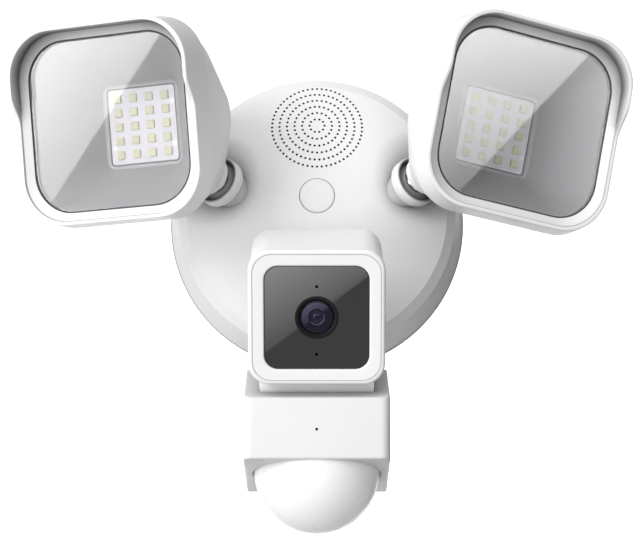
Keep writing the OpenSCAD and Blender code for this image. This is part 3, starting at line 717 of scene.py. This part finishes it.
lo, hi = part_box("centre_plug")
plug_place = rigid(Vector(((lo.x + hi.x) / 2, hi.y, (lo.z + hi.z) / 2)), (1, 0, 0), (0, 0, 1), (0, -1, 0))
add_piece("bolt_plug", bolt_plug((hi.x - lo.x) / 2 / MM, (hi.y - lo.y) / MM), plug_place, "plug",
          "white_plastic", 38, ("centre_plug",))

# ---------------------------------------------------------------- camera, in millimetres

CUBE_WIDTH, CUBE_CORNER = 52, 8
WINDOW_WIDTH, WINDOW_CORNER = 39.66, 5.4
SHELL_WIDTH, SHELL_CORNER = 51, 7.5
MICROPHONE_Y, INDICATOR_Y = 11.9, -14.3

cam = frame_of("image_board", "camera_bezel")


def camera_front_frame():
    """The frame round the window, with a fine groove near its outer edge."""
    window = 39.7
    band = (CUBE_WIDTH - window) / 2
    edge = 1.2
    profile = [(0.6, -4), (0.12, -3.95), (0, -3.8), (0, -edge)]
    profile += [(edge - edge * math.cos(math.radians(a)), -edge + edge * math.sin(math.radians(a)))
                for a in range(15, 91, 15)]
    profile += [(1.45, 0), (1.5, -0.25), (1.72, -0.25), (1.77, 0), (5.35, 0), (5.6, -0.02), (5.8, -0.1),
                (5.98, -0.3), (6.02, -0.6), (6.02, -1.95), (7.6, -2), (7.6, -4)]
    section = [(d / band, z) for d, z in profile]
    return swept(outline(CUBE_WIDTH, CUBE_CORNER, corner=14, side=6),
                 outline(window, WINDOW_CORNER, corner=14, side=6), lambda y: section)


def camera_body():
    """The hollow shell behind the front frame, with its button hole and the knuckle round the pin."""
    back = local_box("camera_shell", cam)[0].z
    rear_edge = 2.4
    shell = [ring(-4.05, 50.2, 7.1, corner=14), ring(-4.2, 50.8, 7.4, corner=14),
             ring(-4.5, SHELL_WIDTH, SHELL_CORNER, corner=14)]
    for a in range(0, 91, 15):
        drop = rear_edge - rear_edge * math.cos(math.radians(a))
        shell.append(ring(back + rear_edge - rear_edge * math.sin(math.radians(a)), SHELL_WIDTH - 2 * drop,
                          SHELL_CORNER - drop, corner=14))
    solid = scratch_object(loft(shell, start_cap=True, end_cap=True))
    room = scratch_object(slab(back + 1.8, 2, 47.4, 5.7, 0.5))
    button_lo, button_hi = local_box("setup_button", cam)
    hole = scratch_object(moved(lathe([(0, -3), (3.2, -3), (3.2, 3), (0, 3)], 48),
                                0, (button_lo.y + button_hi.y) / 2, back))
    mesh = cut(solid, room, hole)
    pin_lo, pin_hi = local_box("tilt_pin", cam)
    pin_y, pin_z = (pin_lo.y + pin_hi.y) / 2, (pin_lo.z + pin_hi.z) / 2
    half_width, half_depth, knuckle_top = 9, 2.35, -24.8
    side_outline = [(pin_y + 2.2 * math.sin(math.radians(a)), pin_z + half_depth * math.cos(math.radians(a)))
                    for a in range(180, 361, 15)]
    side_outline += [(knuckle_top, pin_z + half_depth), (knuckle_top, pin_z - half_depth)]
    knuckle = scratch_object(prism(side_outline, -half_width, half_width))
    knuckle_mesh = evaluated(rounded_edges(knuckle, 0.35, segments=2, angle=40))
    bm = bmesh.new()
    bm.from_mesh(mesh)
    bm.from_mesh(knuckle_mesh)
    bm.to_mesh(mesh)
    bm.free()
    return placed(mesh, cam)


def lens_rim():
    """The stepped black ring that leads in to the lens."""
    profile = [(6.45, -3), (8.2, -3), (8.2, -0.75)] + arc((7.95, -0.85), 0.25, 0, 90, 4)
    profile += [(7.5, -0.6), (7.35, -0.85), (7.1, -0.95), (7.0, -1.3), (6.7, -1.4), (6.55, -1.85),
                (6.45, -1.9), (6.45, -3)]
    return lathe(profile, 128)


def front_lens():
    """The nearly flat front element, with a fine raised ring near its middle."""
    lens_lo, lens_hi = local_box("lens_glass", cam)
    top = lens_hi.z
    profile = [(0, lens_lo.z), (6.25, lens_lo.z), (6.25, top - 0.3)]
    profile += arc((6, top - 0.3), 0.25, 0, 80, 4)
    profile += [(r, top - 0.05 + 0.04 * math.cos(math.pi * r / 12)) for r in (5.6, 4.6, 3.4, 2.3)]
    profile += [(2.05, top - 0.05), (1.9, top + 0.01), (1.75, top - 0.05)]
    profile += [(r, top - 0.02) for r in (1.4, 0.7, 0)]
    return lathe(profile, 128)


def window_pane():
    """The dark window with its lens hole and the microphone and indicator holes."""
    window_lo, window_hi = local_box("camera_window", cam)
    plate = scratch_object(slab(window_lo.z, window_hi.z, WINDOW_WIDTH, WINDOW_CORNER, 0.12))
    lens_hole = scratch_object(lathe([(0, -6), (8.25, -6), (8.25, 3), (0, 3)], 128))
    small_holes = [scratch_object(moved(lathe([(0, -6), (0.6, -6), (0.6, 3), (0, 3)], 32), 0, y))
                   for y in (MICROPHONE_Y, INDICATOR_Y)]
    return placed(cut(plate, lens_hole, *small_holes), cam)


add_piece("camera_front_frame", camera_front_frame(), cam, "camera", "camera_white", 32, ("camera_bezel",))
finish_piece("camera_body", camera_body(), "camera", "camera_white", 32, ("camera_shell",))
add_piece("lens_rim", lens_rim(), cam, "camera", "lens_black", 28, ("lens_ring",))
add_piece("front_lens", front_lens(), cam, "camera", "lens_coating", 30, ("lens_glass",))
finish_piece("camera_window_pane", window_pane(), "camera", "window_dark", 25, ("camera_window",))
softened("camera_foot", "sensor_block", 0.35)

# ---------------------------------------------------------------- sensor block, in millimetres

CASE_WALL = 2
CASE_CORNER = 3.6
DOME_Y = -84.6

lo, hi = (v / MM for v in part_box("sensor_housing"))
front_top, front_low = (lo.y, hi.z - 15.9), (lo.y, lo.z + 8.7)
rear_low, rear_top = (hi.y, lo.z), (hi.y - 15.8, hi.z)
top_rise = (rear_top[1] - front_top[1]) / (rear_top[0] - front_top[0])
low_rise = (rear_low[1] - front_low[1]) / (rear_low[0] - front_low[0])
slope = math.atan(low_rise)
down = Vector((0, math.sin(slope), -math.cos(slope)))
dome_place = rigid(Vector((0, DOME_Y, front_low[1] + (DOME_Y - lo.y) * low_rise)) * MM,
                   Vector((1, 0, 0)), down.cross(Vector((1, 0, 0))), down)


def sensor_case():
    """The wedge-shaped case, hollow, with a front hole, the dome's mouth below and a slot for the foot."""
    solid = scratch_object(prism([front_top, front_low, rear_low, rear_top], lo.x, hi.x))
    bm = bmesh.new()
    bm.from_mesh(solid.data)
    upright = [e for e in bm.edges if all(abs(v.co.y - lo.y * MM) < 1e-5 for v in e.verts)
               and abs(e.verts[0].co.x - e.verts[1].co.x) < 1e-6]
    bmesh.ops.bevel(bm, geom=upright, offset=CASE_CORNER * MM, segments=8, profile=0.5, affect="EDGES",
                    offset_type="OFFSET")
    bm.to_mesh(solid.data)
    bm.free()
    solid = mesh_object(evaluated(rounded_edges(solid, 0.8, segments=3, angle=25)))
    y0, y1 = lo.y + CASE_WALL, hi.y + 5
    inside = [(y0, front_top[1] + CASE_WALL * top_rise - CASE_WALL),
              (y0, front_low[1] + CASE_WALL * low_rise + CASE_WALL),
              (y1, front_low[1] + (y1 - lo.y) * low_rise + CASE_WALL),
              (y1, front_top[1] + (y1 - lo.y) * top_rise - CASE_WALL)]
    room = scratch_object(prism(inside, lo.x + CASE_WALL, hi.x - CASE_WALL))
    hole = scratch_object(lathe([(0, -4), (0.55, -4), (0.55, 4), (0, 4)], 32))
    hole.data.transform(Matrix.Translation(Vector((0, lo.y, (front_top[1] + front_low[1]) / 2 - 0.45)) * MM)
                        @ Matrix.Rotation(math.radians(90), 4, "X"))
    mouth = scratch_object(lathe([(0, -5), (24.7, -5), (24.7, -0.5), (25.2, 0.1), (25.2, 5), (0, 5)], 128))
    mouth.data.transform(dome_place)
    foot_slot = scratch_object(moved(slab(-40.2, -7.2, 44.6, 0.8, 0.4, 20), 0, -24.5))
    foot_slot.data.transform(cam)
    return cut(solid, room, hole, mouth, foot_slot)


def sensor_dome():
    """The milky dome: a thin half ball on a flange."""
    centre, outer, inner = -1.2, 24.25, 23
    profile = [(22.6, -3.1), (25.2, -3.1), (25.2, -2.1), (24.2, -2.1)]
    profile += [(outer * math.cos(math.radians(a)), centre + outer * math.sin(math.radians(a)))
                for a in range(2, 90, 4)]
    profile += [(0, centre + outer), (0, centre + inner)]
    profile += [(inner * math.cos(math.radians(a)), centre + inner * math.sin(math.radians(a)))
                for a in range(88, 0, -8)]
    return lathe(profile + [(22.8, -1.6), (22.6, -3.1)], 128)


finish_piece("sensor_case", sensor_case(), "sensor_block", "sensor_grey", 30, ("sensor_housing",))
add_piece("sensor_dome", sensor_dome(), dome_place, "sensor_block", "dome_milky", 40, ("dome_lens",))

# ---------------------------------------------------------------- view, lights and surroundings, in metres

scene = bpy.context.scene
scene.view_settings.view_transform = "Standard"

eye = Vector((0.00125, -0.9813, -0.1829))
camera_data = bpy.data.cameras.new("camera")
camera_data.sensor_width = 36
camera_data.lens = 129.7
camera = bpy.data.objects.new("camera", camera_data)
camera.location = eye
camera.rotation_euler = (math.radians(99.5), 0, 0)
scene.collection.objects.link(camera)
scene.camera = camera


def studio_world():
    """A white surround, brighter on the left, in front and above."""
    world = bpy.data.worlds.new("studio")
    scene.world = world
    world.use_nodes = True
    tree = world.node_tree
    background = tree.nodes["Background"]
    background.inputs["Color"].default_value = (1, 1, 1, 1)
    heading = tree.nodes.new("ShaderNodeTexCoord")
    lean = tree.nodes.new("ShaderNodeVectorMath")
    lean.operation = "DOT_PRODUCT"
    lean.inputs[1].default_value = (-0.76, -0.5, 0.42)
    level = tree.nodes.new("ShaderNodeMapRange")
    level.inputs["From Min"].default_value = -0.75
    level.inputs["From Max"].default_value = 1.0
    level.inputs["To Min"].default_value = 0.03
    level.inputs["To Max"].default_value = 1.22
    tree.links.new(heading.outputs["Generated"], lean.inputs[0])
    tree.links.new(lean.outputs["Value"], level.inputs["Value"])
    tree.links.new(level.outputs["Result"], background.inputs["Strength"])


def softbox(name, place, target, size, power):
    """A rectangular area light that faces the target and isn't seen itself."""
    data = bpy.data.lights.new(name, "AREA")
    data.shape = "RECTANGLE"
    data.size, data.size_y = size
    data.energy = power
    light = bpy.data.objects.new(name, data)
    light.location = place
    light.rotation_euler = (Vector(target) - Vector(place)).to_track_quat("-Z", "Y").to_euler()
    light.visible_camera = False
    scene.collection.objects.link(light)


def mirror_card(name, place, corners, distance, strength, fade):
    """A lit card whose mirror image, from the scene camera's place, covers the corners of a pane.

    The corners are in millimetres of the frame place. fade is the share of the strength at each.
    The card stands still, so the reflection moves as the view or the pane does.
    """
    inverse = place.inverted()
    seen = inverse @ eye
    image = Vector((seen.x, seen.y, -seen.z))
    points = []
    for x, y in corners:
        p = Vector((x, y, 0)) * MM
        points.append(place @ (p + (p - image).normalized() * distance))
    mesh = bpy.data.meshes.new(name)
    mesh.from_pydata(points, [], [tuple(range(len(points)))])
    uv = mesh.uv_layers.new(name="fade")
    for i, f in enumerate(fade):
        uv.data[i].uv = (f, 0)
    m = bpy.data.materials.new(name)
    m.use_nodes = True
    t = m.node_tree
    t.nodes.clear()
    out = t.nodes.new("ShaderNodeOutputMaterial")
    glow = t.nodes.new("ShaderNodeEmission")
    where = t.nodes.new("ShaderNodeUVMap")
    where.uv_map = "fade"
    split = t.nodes.new("ShaderNodeSeparateXYZ")
    level = t.nodes.new("ShaderNodeMath")
    level.operation = "MULTIPLY"
    level.inputs[1].default_value = strength
    t.links.new(where.outputs["UV"], split.inputs["Vector"])
    t.links.new(split.outputs["X"], level.inputs[0])
    t.links.new(level.outputs["Value"], glow.inputs["Strength"])
    t.links.new(glow.outputs["Emission"], out.inputs["Surface"])
    mesh.materials.append(m)
    card = bpy.data.objects.new(name, mesh)
    card.visible_camera = False
    card.visible_diffuse = False
    card.visible_shadow = False
    scene.collection.objects.link(card)


def stage_plane(name, corners, colour, strength=0.0):
    """A plain sheet that is seen but throws no light of its own on the object's matt surfaces."""
    mesh = bpy.data.meshes.new(name)
    mesh.from_pydata(corners, [], [tuple(range(len(corners)))])
    mesh.materials.append(shade(name, colour, 0.85, spread=0.01, mottle=4, bump=0, emission=strength))
    plane = bpy.data.objects.new(name, mesh)
    plane.visible_diffuse = False
    scene.collection.objects.link(plane)


studio_world()
softbox("key", (-1.5, -2.0, 0.75), (0, -0.05, 0), (1.1, 1.1), 26)
softbox("fill", (-1.6, -1.7, -0.5), (0, -0.05, -0.05), (0.9, 0.6), 7.5)
softbox("lift", (0.2, -2.0, -0.5), (0, -0.05, -0.1), (1.0, 0.4), 4)

whole_pane = [(-45, -45), (45, -45), (45, 45), (-45, 45)]
mirror_card("left_card", lamps["left"], [(-42, -45), (36, 45), (-45, 45), (-45, -45)], 1.1, 12,
            [0.45, 0.6, 1, 0.5])
mirror_card("left_veil", lamps["left"], whole_pane, 1.2, 6, [0.5, 0.4, 0.35, 1])
mirror_card("right_card", lamps["right"], [(30, -45), (-30, 45), (45, 45), (45, -45)], 1.1, 12,
            [0.1, 0.6, 1, 0.15])
mirror_card("right_veil", lamps["right"], whole_pane, 1.2, 4, [0.5, 0, 0, 1])
mirror_card("window_card", cam, [(-26, -18.7), (26, 21), (26, 26), (-26, 26)], 0.8, 7, [0.2, 0.3, 0.45, 1])

FLOOR_Z, BACK_Y = -1.4, 3.2
stage_plane("floor", [(-4, -4, FLOOR_Z), (4, -4, FLOOR_Z), (4, BACK_Y, FLOOR_Z), (-4, BACK_Y, FLOOR_Z)],
            (0.8, 0.8, 0.8))
back_low, back_high = FLOOR_Z + 0.01, 1.8
stage_plane("backdrop", [(-1.5, BACK_Y, back_low), (1.5, BACK_Y, back_low), (1.5, BACK_Y, back_high),
                         (-1.5, BACK_Y, back_high)], (1, 1, 1), 1.0)
